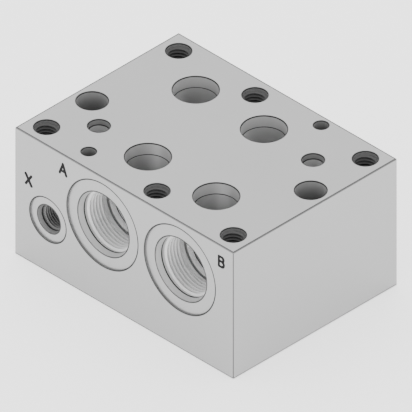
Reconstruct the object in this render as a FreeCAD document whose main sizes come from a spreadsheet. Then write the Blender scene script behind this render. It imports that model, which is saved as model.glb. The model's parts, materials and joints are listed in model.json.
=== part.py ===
import FreeCAD, Part
import os
import re

import Sketcher
from FreeCAD import Placement, Rotation, Vector

# Hydraulic valve subplate: one machined block with a valve mounting face on top,
# work and pilot ports on the front, supply ports on the back and a relief valve
# cavity in the left end. Millimetres. The origin is the centre of the bottom face,
# +X runs along the length, +Y to the back and +Z up to the valve face.

NODE = "subplate_block"
SMALLEST_CUT = 1.0

# The valve face pattern is measured from the back left bolt: x to the right and
# y towards the front. Depths run inwards from the face that a hole starts on.
SIZES = (
    ("block_length", 152.4, "block, along X"),
    ("block_width", 114.3, "block, along Y"),
    ("block_height", 76.2, "block, along Z"),
    ("edge_break", 0.4, "chamfer on the block's outer edges"),
    ("rim_break", 0.25, "chamfer on the rim of every drilled hole"),
    ("drill_point", 118.0, "point angle of the drills, in degrees"),
    ("bolt_span_x", 130.175, "corner valve bolts, hole to hole along the length"),
    ("bolt_span_y", 92.075, "corner valve bolts, hole to hole across the width"),
    ("bolt_back_x", 53.2, "middle bolt of the back row"),
    ("bolt_front_x", 77.0, "middle bolt of the front row"),
    ("bolt_diameter", 12.7, "valve bolt thread, major diameter"),
    ("bolt_thread_depth", 27.0, "valve bolt thread, usable depth"),
    ("bolt_tap_diameter", 10.8, "valve bolts, tap drill"),
    ("bolt_tap_depth", 33.5, "valve bolts, tap drill, full diameter depth"),
    ("pin_back_x", 94.5, "back locating pin hole"),
    ("pin_back_y", -4.8, "back locating pin hole"),
    ("pin_front_x", 29.4, "front locating pin hole"),
    ("pin_front_y", 92.1, "front locating pin hole"),
    ("pin_diameter", 7.5, "locating pin holes"),
    ("pin_depth", 8.0, "locating pin holes, full diameter depth"),
    ("screw_left_y", 60.325, "left fixing screw, on the line of the left bolts"),
    ("screw_right_y", 38.1, "right fixing screw, on the line of the right bolts"),
    ("screw_hole_diameter", 10.3, "fixing screws, clearance hole"),
    ("screw_head_diameter", 15.875, "fixing screws, counterbore"),
    ("screw_head_depth", 12.7, "fixing screws, counterbore"),
    ("port_p_x", 77.0, "supply port P"),
    ("port_p_y", 17.5, "supply port P"),
    ("port_t_x", 29.4, "return port T"),
    ("port_t_y", 17.5, "return port T"),
    ("port_a_x", 53.2, "work port A"),
    ("port_a_y", 74.6, "work port A"),
    ("port_b_x", 100.8, "work port B"),
    ("port_b_y", 74.6, "work port B"),
    ("port_mouth_diameter", 23.0, "main ports, bored mouth"),
    ("port_mouth_depth", 6.7, "main ports, bored mouth"),
    ("port_drill_diameter", 22.2, "main ports and side passages, drill"),
    ("port_work_reach", 4.4, "ports A and B, past the side port's centre line"),
    ("port_relief_reach", 4.0, "ports P and T, past the relief cavity's centre line"),
    ("pilot_x_x", 17.5, "pilot port X"),
    ("pilot_x_y", 73.0, "pilot port X"),
    ("pilot_y_x", 112.7, "drain port Y"),
    ("pilot_y_y", 19.0, "drain port Y"),
    ("pilot_mouth_diameter", 11.1, "pilot ports, bored mouth"),
    ("pilot_mouth_depth", 3.2, "pilot ports, bored mouth"),
    ("pilot_drill_diameter", 10.3, "pilot ports and side passages, drill"),
    ("pilot_reach", 3.0, "pilot ports, past the side port's centre line"),
    ("spot_depth", 0.76, "spotface of every side port and of the cavity"),
    ("main_spacing", 53.975, "main side ports of one face, centre to centre"),
    ("main_drop", 28.575, "side ports A and B, below the valve face"),
    ("supply_drop", 34.925, "side ports P and T, below the valve face"),
    ("main_spot_diameter", 48.8, "main side ports, spotface"),
    ("main_seal_diameter", 35.5, "main side ports, mouth of the seal cone"),
    ("main_seal_depth", 3.3, "main side ports, seal cone"),
    ("main_thread_diameter", 33.34, "main side ports, thread major diameter"),
    ("main_thread_depth", 19.05, "main side ports, thread below the spotface"),
    ("main_tap_diameter", 31.2, "main side ports, tap drill"),
    ("main_tap_depth", 22.7, "main side ports, tap drill below the spotface"),
    ("main_side_reach", 4.4, "main side passages, past the port that they meet"),
    ("pilot_shift", 5.5, "pilot side ports, outward from their top port"),
    ("pilot_drop", 44.45, "pilot side ports, below the valve face"),
    ("pilot_spot_diameter", 24.65, "pilot side ports, spotface"),
    ("pilot_seal_diameter", 15.6, "pilot side ports, mouth of the seal cone"),
    ("pilot_seal_depth", 2.5, "pilot side ports, seal cone"),
    ("pilot_thread_diameter", 14.29, "pilot side ports, thread major diameter"),
    ("pilot_thread_depth", 12.7, "pilot side ports, thread below the spotface"),
    ("pilot_tap_diameter", 13.0, "pilot side ports, tap drill"),
    ("pilot_tap_depth", 15.5, "pilot side ports, tap drill below the spotface"),
    ("pilot_side_reach", 3.0, "pilot side passages, past the port that they meet"),
    ("relief_drop", 49.2, "relief cavity, centre line below the valve face"),
    ("relief_setback", 12.7, "relief cavity, centre line in front of port T"),
    ("relief_thread_depth", 22.2, "relief cavity, thread below the spotface"),
    ("relief_body_diameter", 28.6, "relief cavity, bore beside port T"),
    ("relief_body_margin", 2.5, "relief cavity, bore past the wall of port T"),
    ("relief_nose_diameter", 25.4, "relief cavity, bore that seats the cartridge nose"),
    ("relief_nose_length", 12.7, "relief cavity, nose bore"),
    ("relief_drill_diameter", 20.6, "relief cavity, drill on to port P"),
    ("relief_drill_reach", 4.0, "relief cavity, drill past the centre of port P"),
)

# Places on the valve face, as expressions of pattern x and y.
BOLTS = (
    ("0", "0"),
    ("bolt_span_x", "0"),
    ("bolt_span_x", "bolt_span_y"),
    ("0", "bolt_span_y"),
    ("bolt_back_x", "0"),
    ("bolt_front_x", "bolt_span_y"),
)
PINS = (("pin_back_x", "pin_back_y"), ("pin_front_x", "pin_front_y"))
SCREWS = (("ScrewLeft", "0", "screw_left_y"), ("ScrewRight", "bolt_span_x", "screw_right_y"))

# Side ports: the face, the kind of port, its passage, its drop below the valve face, its x
# and the y that it runs to.
FRONT_MIDDLE = "(port_a_x + port_b_x) / 2"
BACK_MIDDLE = "(port_t_x + port_p_x) / 2"
SIDE_PORTS = (
    ("SideA", "front", "main", "port_drill", "main_drop", f"{FRONT_MIDDLE} - main_spacing / 2", "port_a_y"),
    ("SideB", "front", "main", "port_drill", "main_drop", f"{FRONT_MIDDLE} + main_spacing / 2", "port_b_y"),
    ("SideT", "back", "main", "port_drill", "supply_drop", f"{BACK_MIDDLE} - main_spacing / 2", "port_t_y"),
    ("SideP", "back", "main", "port_drill", "supply_drop", f"{BACK_MIDDLE} + main_spacing / 2", "port_p_y"),
    ("SideX", "front", "pilot", "pilot_drill", "pilot_drop", "pilot_x_x - pilot_shift", "pilot_x_y"),
    ("SideY", "back", "pilot", "pilot_drill", "pilot_drop", "pilot_y_x + pilot_shift", "pilot_y_y"),
)

# Sketch turns: a hole's half section has its depth along local x and its radius along y.
DOWN = Rotation(Vector(0, 0, 1), -90)
TO_BACK = Rotation()
TO_FRONT = Rotation(Vector(0, 1, 0), 180)
TO_RIGHT = Rotation()


def across(pattern_x):
    """Block X of a place on the valve face pattern."""
    return f"({pattern_x} - bolt_span_x / 2)"


def along(pattern_y):
    """Block Y of a place on the valve face pattern."""
    return f"(bolt_span_y / 2 - ({pattern_y}))"


def cone(outer, inner="0"):
    """Depth of a drill's cone between two diameters."""
    return f"({outer} - {inner}) / 2 * tan(90 - drill_point / 2)"


def bound(text):
    """The expression with each size written as the sheet's own."""
    return re.sub(r"\b([a-z]+(?:_[a-z]+)+)\b", r"Sizes.\1", text)


def write_sheet(doc):
    """Put each driving dimension on a row of its own, with its alias and meaning."""
    sheet = doc.addObject("Spreadsheet::Sheet", "Sizes")
    for row, (alias, value, meaning) in enumerate(SIZES, start=1):
        sheet.set(f"A{row}", alias)
        sheet.set(f"B{row}", str(value))
        sheet.set(f"C{row}", meaning)
        sheet.setAlias(f"B{row}", alias)
    doc.recompute()
    return sheet


def number(sheet, text):
    """The value that an expression has with the sheet's present sizes."""
    found = sheet.evalExpression(text)
    return float(getattr(found, "Value", found))


def place_sketch(body, name, plane, origin, turn=Rotation()):
    """A sketch on one of the body's origin planes, moved by three expressions."""
    sketch = body.newObject("Sketcher::SketchObject", name)
    planes = {feature.Role: feature for feature in body.Origin.OriginFeatures}
    sketch.AttachmentSupport = [(planes[plane], "")]
    sketch.MapMode = "FlatFace"
    sketch.AttachmentOffset = Placement(Vector(), turn)
    for axis, text in zip("xyz", origin):
        sketch.setExpression(f"AttachmentOffset.Base.{axis}", bound(text))
    return sketch


def dimension(sketch, sheet, kind, point, text):
    """A distance from the sketch's origin to a point, tied to the sheet."""
    value = number(sheet, text)
    index = sketch.addConstraint(Sketcher.Constraint(kind, -1, 1, *point, value))
    sketch.setExpression(f"Constraints[{index}]", bound(text))


def draw_profile(sketch, sheet, corners):
    """Close a half section of a hole, from the mouth's centre round to the tip."""
    corners = [("0", "0")] + corners
    points = [Vector(number(sheet, x), number(sheet, y), 0) for x, y in corners]
    last = len(points) - 1
    for index, point in enumerate(points):
        following = points[index + 1] if index < last else points[0]
        sketch.addGeometry(Part.LineSegment(point, following), False)
    for index in range(last):
        sketch.addConstraint(Sketcher.Constraint("Coincident", index, 2, index + 1, 1))
    sketch.addConstraint(Sketcher.Constraint("Coincident", last, 2, 0, 1))
    sketch.addConstraint(Sketcher.Constraint("Coincident", 0, 1, -1, 1))
    for index in range(1, last + 1):
        (old_x, old_y), (new_x, new_y) = corners[index - 1], corners[index]
        if new_x == old_x:
            sketch.addConstraint(Sketcher.Constraint("Vertical", index - 1))
        else:
            dimension(sketch, sheet, "DistanceX", (index, 1), new_x)
        if new_y == "0":
            sketch.addConstraint(Sketcher.Constraint("PointOnObject", index, 1, -1))
        elif new_y == old_y:
            sketch.addConstraint(Sketcher.Constraint("Horizontal", index - 1))
        else:
            dimension(sketch, sheet, "DistanceY", (index, 1), new_y)


def must_cut(body, feature, volume):
    """Recompute after a cut, and stop if it took no material away."""
    body.Document.recompute()
    left = body.Shape.Volume
    if not left < volume - SMALLEST_CUT:
        raise RuntimeError(f"{feature.Label} cut nothing")
    return left


def bore(body, sheet, name, plane, origin, turn, corners):
    """Cut one round, stepped hole by turning its half section about its axis."""
    volume = body.Shape.Volume
    sketch = place_sketch(body, f"{name}Profile", plane, origin, turn)
    draw_profile(sketch, sheet, corners)
    groove = body.newObject("PartDesign::Groove", name)
    groove.Profile = sketch
    groove.ReferenceAxis = (sketch, ["H_Axis"])
    groove.Angle = 360
    must_cut(body, groove, volume)


def bore_down(body, sheet, name, x, y, corners):
    """A hole from the valve face down, at a place on the pattern."""
    origin = (across(x), "block_height", f"-{along(y)}")
    bore(body, sheet, name, "XZ_Plane", origin, DOWN, corners)


def outline_and_pad(body, sheet):
    """The block's rectangle, padded to its height, with its edges broken."""
    outline = place_sketch(body, "BlockOutline", "XY_Plane", ("0", "0", "0"))
    half_x = number(sheet, "block_length") / 2
    half_y = number(sheet, "block_width") / 2
    corners = [Vector(-half_x, -half_y, 0), Vector(half_x, -half_y, 0)]
    corners += [Vector(half_x, half_y, 0), Vector(-half_x, half_y, 0)]
    for index, corner in enumerate(corners):
        outline.addGeometry(Part.LineSegment(corner, corners[(index + 1) % 4]), False)
    for index in range(4):
        outline.addConstraint(
            Sketcher.Constraint("Coincident", index, 2, (index + 1) % 4, 1)
        )
    for index, kind in enumerate(("Horizontal", "Vertical", "Horizontal", "Vertical")):
        outline.addConstraint(Sketcher.Constraint(kind, index))
    dimension(outline, sheet, "DistanceX", (2, 1), "block_length / 2")
    dimension(outline, sheet, "DistanceY", (2, 1), "block_width / 2")
    outline.addConstraint(Sketcher.Constraint("Symmetric", 0, 1, 2, 1, -1, 1))

    pad = body.newObject("PartDesign::Pad", "BlockPad")
    pad.Profile = outline
    pad.setExpression("Length", bound("block_height"))
    body.Document.recompute()

    chamfer = body.newObject("PartDesign::Chamfer", "EdgeBreak")
    chamfer.Base = (pad, [f"Edge{index}" for index in range(1, 13)])
    chamfer.setExpression("Size", bound("edge_break"))
    body.Document.recompute()


def hole_centres(body, sheet, name, places):
    """A sketch on the valve face with a circle at each place of the pattern."""
    origin = ("-bolt_span_x / 2", "bolt_span_y / 2", "block_height")
    sketch = place_sketch(body, name, "XY_Plane", origin)
    for index, (x, y) in enumerate(places):
        centre = Vector(number(sheet, x), -number(sheet, y), 0)
        sketch.addGeometry(Part.Circle(centre, Vector(0, 0, 1), 1), False)
        if x == "0":
            sketch.addConstraint(Sketcher.Constraint("PointOnObject", index, 3, -2))
        else:
            dimension(sketch, sheet, "DistanceX", (index, 3), x)
        if y == "0":
            sketch.addConstraint(Sketcher.Constraint("PointOnObject", index, 3, -1))
        else:
            dimension(sketch, sheet, "DistanceY", (index, 3), f"-{y}")
        sketch.addConstraint(Sketcher.Constraint("Radius", index, 1))
    return sketch


def drill(body, name, centres, diameter, depth, rim=False, point=False):
    """Drill a hole at every centre, with a broken rim or a drill point if asked."""
    volume = body.Shape.Volume
    body.Document.recompute()
    hole = body.newObject("PartDesign::Hole", name)
    hole.Profile = centres
    hole.ThreadType = "None"
    hole.DepthType = "Dimension"
    hole.setExpression("Diameter", bound(diameter))
    hole.setExpression("Depth", bound(depth))
    hole.DrillPoint = "Angled" if point else "Flat"
    if point:
        hole.setExpression("DrillPointAngle", bound("drill_point"))
    if rim:
        hole.HoleCutType = "Countersink"
        hole.HoleCutCustomValues = True
        hole.HoleCutCountersinkAngle = 90
        hole.setExpression("HoleCutDiameter", bound(f"{diameter} + 2 * rim_break"))
    must_cut(body, hole, volume)


def cut_bolt_and_pin_holes(body, sheet):
    """Six tapped holes for the valve's bolts, and two holes for its pins."""
    bolts = hole_centres(body, sheet, "BoltCentres", BOLTS)
    drill(body, "BoltThread", bolts, "bolt_diameter", "bolt_thread_depth", rim=True)
    drill(body, "BoltTapDrill", bolts, "bolt_tap_diameter", "bolt_tap_depth", point=True)
    pins = hole_centres(body, sheet, "PinCentres", PINS)
    drill(body, "PinHole", pins, "pin_diameter", "pin_depth", rim=True, point=True)


def cut_screw_holes(body, sheet):
    """Two counterbored holes right through, for the screws that hold the block."""
    head = "screw_head_diameter / 2"
    shank = "screw_hole_diameter / 2"
    corners = [
        ("0", f"{head} + rim_break"),
        ("rim_break", head),
        ("screw_head_depth", head),
        ("screw_head_depth", shank),
        ("block_height - rim_break", shank),
        ("block_height", f"{shank} + rim_break"),
        ("block_height", "0"),
    ]
    for name, x, y in SCREWS:
        bore_down(body, sheet, name, x, y, corners)


def port_section(mouth, mouth_depth, passage, passage_depth):
    """Half section of a valve face port: mouth, smaller passage and drill point."""
    return [
        ("0", f"{mouth} / 2 + rim_break"),
        ("rim_break", f"{mouth} / 2"),
        (mouth_depth, f"{mouth} / 2"),
        (mouth_depth, f"{passage} / 2"),
        (passage_depth, f"{passage} / 2"),
        (f"{passage_depth} + {cone(passage)}", "0"),
    ]


def cut_face_ports(body, sheet):
    """The four main ports and the two pilot ports of the valve face."""
    depths = {
        "a": "main_drop + port_work_reach",
        "b": "main_drop + port_work_reach",
        "p": "relief_drop + port_relief_reach",
        "t": "relief_drop + port_relief_reach",
    }
    for letter, depth in depths.items():
        corners = port_section(
            "port_mouth_diameter", "port_mouth_depth", "port_drill_diameter", depth
        )
        place = (f"port_{letter}_x", f"port_{letter}_y")
        bore_down(body, sheet, f"Port{letter.upper()}", *place, corners)
    for letter in "xy":
        corners = port_section(
            "pilot_mouth_diameter",
            "pilot_mouth_depth",
            "pilot_drill_diameter",
            "pilot_drop + pilot_reach",
        )
        place = (f"pilot_{letter}_x", f"pilot_{letter}_y")
        bore_down(body, sheet, f"Pilot{letter.upper()}", *place, corners)


def threaded_mouth(kind, thread_depth):
    """Spotface, seal cone and thread bore at the mouth of a straight thread port."""
    spot = f"{kind}_spot_diameter / 2"
    thread = f"{kind}_thread_diameter / 2"
    return [
        ("0", f"{spot} + rim_break / 2"),
        ("rim_break / 2", spot),
        ("spot_depth", spot),
        ("spot_depth", f"{kind}_seal_diameter / 2"),
        (f"spot_depth + {kind}_seal_depth", thread),
        (f"spot_depth + {thread_depth}", thread),
    ]


def side_section(kind, passage, reach):
    """Half section of a side port, from its spotface in to its drill point."""
    tap = f"{kind}_tap_diameter"
    floor = f"spot_depth + {kind}_tap_depth"
    return threaded_mouth(kind, f"{kind}_thread_depth") + [
        (f"spot_depth + {kind}_thread_depth", f"{tap} / 2"),
        (floor, f"{tap} / 2"),
        (f"{floor} + {cone(tap, passage)}", f"{passage} / 2"),
        (reach, f"{passage} / 2"),
        (f"{reach} + {cone(passage)}", "0"),
    ]


def cut_side_ports(body, sheet):
    """Work and pilot ports on the front face, supply and drain on the back."""
    for name, face, kind, drill_size, drop, x, met_y in SIDE_PORTS:
        sign, turn = ("-", TO_BACK) if face == "front" else ("", TO_FRONT)
        met = f"block_width / 2 - ({sign}{along(met_y)})"
        reach = f"{met} + {kind}_side_reach"
        corners = side_section(kind, f"{drill_size}_diameter", reach)
        origin = (f"{sign}block_width / 2", f"block_height - {drop}", across(x))
        bore(body, sheet, name, "YZ_Plane", origin, turn, corners)


def cut_relief_cavity(body, sheet):
    """The two-way cartridge cavity: past port T in its side, on to port P at its nose."""
    port_t = f"block_length / 2 + {across('port_t_x')}"
    port_p = f"block_length / 2 + {across('port_p_x')}"
    body_end = f"{port_t} + port_drill_diameter / 2 + relief_body_margin"
    nose_end = f"{body_end} + relief_nose_length"
    drill_end = f"{port_p} + relief_drill_reach"
    corners = threaded_mouth("main", "relief_thread_depth") + [
        ("spot_depth + relief_thread_depth", "relief_body_diameter / 2"),
        (body_end, "relief_body_diameter / 2"),
        (body_end, "relief_nose_diameter / 2"),
        (nose_end, "relief_nose_diameter / 2"),
        (nose_end, "relief_drill_diameter / 2"),
        (drill_end, "relief_drill_diameter / 2"),
        (f"{drill_end} + {cone('relief_drill_diameter')}", "0"),
    ]
    origin = (
        "-block_length / 2",
        "block_height - relief_drop",
        f"-({along('port_t_y')} - relief_setback)",
    )
    bore(body, sheet, "ReliefCavity", "XZ_Plane", origin, TO_RIGHT, corners)


def check(doc, body):
    """Stop if any object failed, or if the block isn't one valid solid."""
    for item in doc.Objects:
        if {"Invalid", "Error"} & set(item.State):
            raise RuntimeError(f"{item.Label} failed: {item.State}")
    shape = body.Shape
    if shape.isNull() or not shape.isValid() or len(shape.Solids) != 1:
        raise RuntimeError(f"{body.Label} isn't one valid solid")


def main():
    """Build the block, check it and write its STEP file."""
    doc = FreeCAD.newDocument("ValveSubplate")
    sheet = write_sheet(doc)
    body = doc.addObject("PartDesign::Body", NODE)
    body.Label = NODE
    outline_and_pad(body, sheet)
    cut_bolt_and_pin_holes(body, sheet)
    cut_screw_holes(body, sheet)
    cut_face_ports(body, sheet)
    cut_side_ports(body, sheet)
    cut_relief_cavity(body, sheet)
    doc.recompute()
    check(doc, body)
    os.makedirs("parts", exist_ok=True)
    body.Shape.exportStep(f"parts/{body.Label}.step")
    print(f"{body.Label}: {body.Shape.Volume / 1000:.1f} cubic centimetres")


main()
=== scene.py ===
"""A hydraulic valve subplate in a plain studio.

The machined block comes from the frame as it is. This script gives it the finish of milled and
bored aluminium, with painted light and shade down the walls of its holes, cuts the look of real
threads into its ports and bolt holes as helical ridges, whose flanks carry painted light in the
wide ports and painted shade in the narrow holes, and adds the paint-filled letters that stand
beside its side ports. Lengths are in metres, and the places of all holes are read from the frame.
"""
import json
import logging
import math
from dataclasses import dataclass, replace
from enum import Enum
from functools import reduce
from typing import Iterable, Union

import bmesh
import bpy
import numpy as np
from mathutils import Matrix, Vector


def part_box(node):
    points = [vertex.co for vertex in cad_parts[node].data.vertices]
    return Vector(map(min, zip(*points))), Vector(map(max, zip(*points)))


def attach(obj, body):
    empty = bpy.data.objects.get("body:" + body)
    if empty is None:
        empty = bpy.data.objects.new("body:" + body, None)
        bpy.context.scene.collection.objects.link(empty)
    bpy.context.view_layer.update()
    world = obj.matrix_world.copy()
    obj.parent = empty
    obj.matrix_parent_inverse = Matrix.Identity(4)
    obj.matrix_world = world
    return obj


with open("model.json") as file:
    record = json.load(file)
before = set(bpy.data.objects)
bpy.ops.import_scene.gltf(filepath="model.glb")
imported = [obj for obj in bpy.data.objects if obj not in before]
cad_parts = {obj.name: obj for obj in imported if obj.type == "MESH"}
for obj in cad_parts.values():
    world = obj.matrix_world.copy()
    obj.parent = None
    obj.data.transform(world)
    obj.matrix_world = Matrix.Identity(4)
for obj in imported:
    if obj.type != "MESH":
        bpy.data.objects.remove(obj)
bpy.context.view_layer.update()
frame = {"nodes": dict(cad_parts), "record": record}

MM = 0.001
INCH = 25.4 * MM
NODE = "subplate_block"
BODY = "root"

log = logging.getLogger("subplate")

Number = Union["Expr", float]
Pair = tuple[float, float]
Triple = tuple[float, float, float]
Tones = tuple[Pair, ...]
Exprs = tuple["Expr", "Expr", "Expr"]


# Shader expressions


class Expr:
    """An output socket of a material's node, used in sums as if it were a number."""

    def __init__(self, shader: "Shader", socket: bpy.types.NodeSocket) -> None:
        """Keep the socket, and the shader that further nodes are added to."""
        self.shader = shader
        self.socket = socket

    def __add__(self, other: Number) -> "Expr":
        """Sum of two values."""
        return self.shader.math("ADD", self, other)

    def __sub__(self, other: Number) -> "Expr":
        """Difference of two values."""
        return self.shader.math("SUBTRACT", self, other)

    def __rsub__(self, other: float) -> "Expr":
        """Number less a value."""
        return self.shader.math("SUBTRACT", other, self)

    def __mul__(self, other: Number) -> "Expr":
        """Product of two values."""
        return self.shader.math("MULTIPLY", self, other)

    def __truediv__(self, other: Number) -> "Expr":
        """Quotient of two values."""
        return self.shader.math("DIVIDE", self, other)

    __radd__ = __add__
    __rmul__ = __mul__

    def __rtruediv__(self, other: float) -> "Expr":
        """Number over a value."""
        return self.shader.math("DIVIDE", other, self)

    def __abs__(self) -> "Expr":
        """Size of a value without its sign."""
        return self.shader.math("ABSOLUTE", self)

    def sign(self) -> "Expr":
        """One, nought or minus one."""
        return self.shader.math("SIGN", self)

    def sine(self) -> "Expr":
        """Sine of an angle in radians."""
        return self.shader.math("SINE", self)

    def root(self) -> "Expr":
        """Square root."""
        return self.shader.math("SQRT", self)

    def least(self, other: Number) -> "Expr":
        """Smaller of two values."""
        return self.shader.math("MINIMUM", self, other)

    def most(self, other: Number) -> "Expr":
        """Larger of two values."""
        return self.shader.math("MAXIMUM", self, other)

    def below(self, limit: Number) -> "Expr":
        """One where the value is under the limit, nought elsewhere."""
        return self.shader.math("LESS_THAN", self, limit)

    def fade(self, full: float, none: float) -> "Expr":
        """Smooth step along the value.

        Args:
            full: value at which the step is one.
            none: value at which it is nought.

        Returns:
            The step.
        """
        node = self.shader.node(
            "ShaderNodeMapRange",
            {"interpolation_type": "SMOOTHSTEP"},
            {"Value": self, "From Min": full, "From Max": none, "To Min": 1.0, "To Max": 0.0},
        )
        return Expr(self.shader, node.outputs["Result"])

    def towards(self, target: Number, share: Number) -> "Expr":
        """Move this value to another by a share from nought to one."""
        return self + share * (target - self)

    def wave(self, length: float) -> "Expr":
        """Sine wave along the value, from nought to one, one wave in each length."""
        return (self * (2.0 * math.pi / length)).sine() * 0.5 + 0.5


class Shader:
    """One material, its node tree and the only place where its nodes are made."""

    def __init__(self, name: str) -> None:
        """Start an empty material.

        Args:
            name: name of the material.
        """
        self.material = bpy.data.materials.new(name)
        self.material.use_nodes = True
        self.tree = self.material.node_tree
        self.tree.nodes.clear()

    def node(
        self, kind: str, settings: dict | None = None, sockets: dict | None = None
    ) -> bpy.types.Node:
        """Add a node, set it up and feed its inputs.

        Args:
            kind: type name of the node.
            settings: properties set first; "stops" holds a colour ramp's (place, grey) pairs.
            sockets: number, colour or expression for each input, by name or index.

        Returns:
            The new node.
        """
        node = self.tree.nodes.new(kind)
        for key, value in (settings or {}).items():
            if key == "stops":
                self._set_stops(node.color_ramp, value)
            else:
                setattr(node, key, value)
        for key, value in (sockets or {}).items():
            if isinstance(value, Expr):
                self.tree.links.new(value.socket, node.inputs[key])
            else:
                node.inputs[key].default_value = value
        return node

    @staticmethod
    def _set_stops(ramp: bpy.types.ColorRamp, stops: Iterable[Pair]) -> None:
        """Give a colour ramp its grey stops.

        Args:
            ramp: the ramp of a new node, which has two stops.
            stops: place from nought to one, and grey, of each stop.
        """
        stops = list(stops)
        while len(ramp.elements) < len(stops):
            ramp.elements.new(1.0)
        for element, (place, grey) in zip(ramp.elements, stops):
            element.position = place
            element.color = (grey, grey, grey, 1.0)

    def math(self, operation: str, *values: Number) -> Expr:
        """Add a Math node and return its result."""
        node = self.node("ShaderNodeMath", {"operation": operation}, dict(enumerate(values)))
        return Expr(self, node.outputs["Value"])

    def place(self) -> Expr:
        """Object coordinates of the shaded point, in metres."""
        return Expr(self, self.node("ShaderNodeTexCoord").outputs["Object"])

    def split(self, vector: Expr) -> Exprs:
        """X, Y and Z of a vector."""
        parts = self.node("ShaderNodeSeparateXYZ", sockets={"Vector": vector})
        return tuple(Expr(self, parts.outputs[axis]) for axis in "XYZ")

    def vector(self, x: Number, y: Number) -> Expr:
        """Vector of two values, in a plane."""
        return Expr(self, self.node("ShaderNodeCombineXYZ", sockets={0: x, 1: y}).outputs["Vector"])

    def distance(self, point: Expr, centre: Pair) -> Expr:
        """Distance of a point in a plane from a fixed centre."""
        sockets = {0: point, 1: (*centre, 0.0)}
        node = self.node("ShaderNodeVectorMath", {"operation": "DISTANCE"}, sockets)
        return Expr(self, node.outputs["Value"])

    def nearest(self, point: Expr, centres: Iterable[Pair]) -> Expr:
        """Distance of a point in a plane from the nearest of several centres.

        Args:
            point: the point, as a vector whose third part is nought.
            centres: the centres.

        Returns:
            The distance.
        """
        return reduce(Expr.least, [self.distance(point, centre) for centre in centres])

    def noise(self, scale: float, detail: float) -> Expr:
        """Cloudy noise from nought to one, fixed to the object.

        Args:
            scale: its waves in one metre.
            detail: how many finer layers lie on it.

        Returns:
            The noise.
        """
        sockets = {"Vector": self.place(), "Scale": scale, "Detail": detail}
        return Expr(self, self.node("ShaderNodeTexNoise", sockets=sockets).outputs["Fac"])

    def ramp(self, value: Expr, stops: Iterable[Pair]) -> Expr:
        """Grey of a ramp with straight stretches between its stops."""
        node = self.node("ShaderNodeValToRGB", {"stops": stops}, {"Fac": value})
        return Expr(self, node.outputs["Color"])

    def grey(self, tone: Expr) -> Expr:
        """Grey colour of a tone."""
        return self.blend(tone, (0.0, 0.0, 0.0), (1.0, 1.0, 1.0))

    def blend(self, share: Expr, dark: Triple, light: Triple) -> Expr:
        """Colour between two colours.

        Args:
            share: nought for the dark one, one for the light one.
            dark: the dark one.
            light: the light one.

        Returns:
            The colour.
        """
        settings = {"data_type": "RGBA"}
        colours = {"Factor": share, 6: (*dark, 1.0), 7: (*light, 1.0)}
        return Expr(self, self.node("ShaderNodeMix", settings, colours).outputs[2])

    def bump(self, height: Expr, distance: float) -> Expr:
        """Normal of a surface with fine relief, whose height is given in units of the distance."""
        sockets = {"Height": height, "Distance": distance}
        return Expr(self, self.node("ShaderNodeBump", sockets=sockets).outputs["Normal"])

    def finish(self, **sockets: Union[Number, Triple]) -> bpy.types.Material:
        """Put the surface shader on and return the material.

        Args:
            **sockets: value of each socket, its name written with _ for a space.

        Returns:
            The finished material.
        """
        named = {}
        for name, value in sockets.items():
            named[name.replace("_", " ")] = (*value, 1.0) if isinstance(value, tuple) else value
        surface = self.node("ShaderNodeBsdfPrincipled", sockets=named)
        output = self.node("ShaderNodeOutputMaterial")
        self.tree.links.new(surface.outputs["BSDF"], output.inputs["Surface"])
        return self.material


# Places and forms of the holes


class Side(Enum):
    """The two long sides of the block that hold ports, by the sign of Y."""

    FRONT = -1.0
    BACK = 1.0


@dataclass(frozen=True)
class Edge:
    """Round edge of a hole's section, drawn as a fine dark line.

    Attributes:
        radius: its radius.
        depth: its depth below the face that the hole enters.
        reach: half width of its line.
    """

    radius: float
    depth: float
    reach: float = 0.34 * MM

    @classmethod
    def rim(
        cls, radius: float, depth: float = 0.0, width: float = 0.5 * MM, lap: float = 0.05 * MM
    ) -> "Edge":
        """Edge whose line lies on the flat round it, so that it also shows where its wall is hidden.

        Args:
            radius: radius of the edge.
            depth: its depth.
            width: width of the line.
            lap: how far the line runs on past both its sides.

        Returns:
            The edge.
        """
        return cls(radius + width / 2, depth, width / 2 + lap)


@dataclass(frozen=True)
class FaceForm:
    """Section of a hole in the valve face.

    Attributes:
        radius: radius of its mouth.
        end: depth that none of its walls goes below.
        steps: edges in its wall, from the mouth down.
        broken: size of the mouth's broken edge.
        margin: how far past the radius a point still counts as on its walls.
    """

    radius: float
    end: float
    steps: tuple[Edge, ...] = ()
    broken: float = 0.25 * MM
    margin: float = 0.4 * MM

    def walls(self) -> list[Pair]:
        """Radius that holds the walls, and the depth down to which it does."""
        return [(self.radius + self.margin, self.end)]

    def edges(self) -> list[Edge]:
        """Edges of the section, from the valve face down."""
        return [Edge.rim(self.radius), Edge(self.radius, self.broken), *self.steps]

    def bands(self) -> list[Edge]:
        """Broad lines, of which such a hole has none."""
        return []


VALVE_BOLT = FaceForm(radius=6.35 * MM, end=40.0 * MM)
MAIN_MOUTH = FaceForm(radius=11.5 * MM, end=60.0 * MM, steps=(Edge(11.3 * MM, 6.7 * MM, 0.27 * MM),))
PILOT_MOUTH = FaceForm(radius=5.55 * MM, end=50.0 * MM, steps=(Edge(5.35 * MM, 3.2 * MM),))
VALVE_PIN = FaceForm(radius=3.75 * MM, end=12.0 * MM)
FIXING_SCREW = FaceForm(
    radius=7.94 * MM, end=80.0 * MM, steps=(Edge(7.94 * MM, 12.7 * MM), Edge(5.3 * MM, 12.8 * MM))
)


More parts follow.
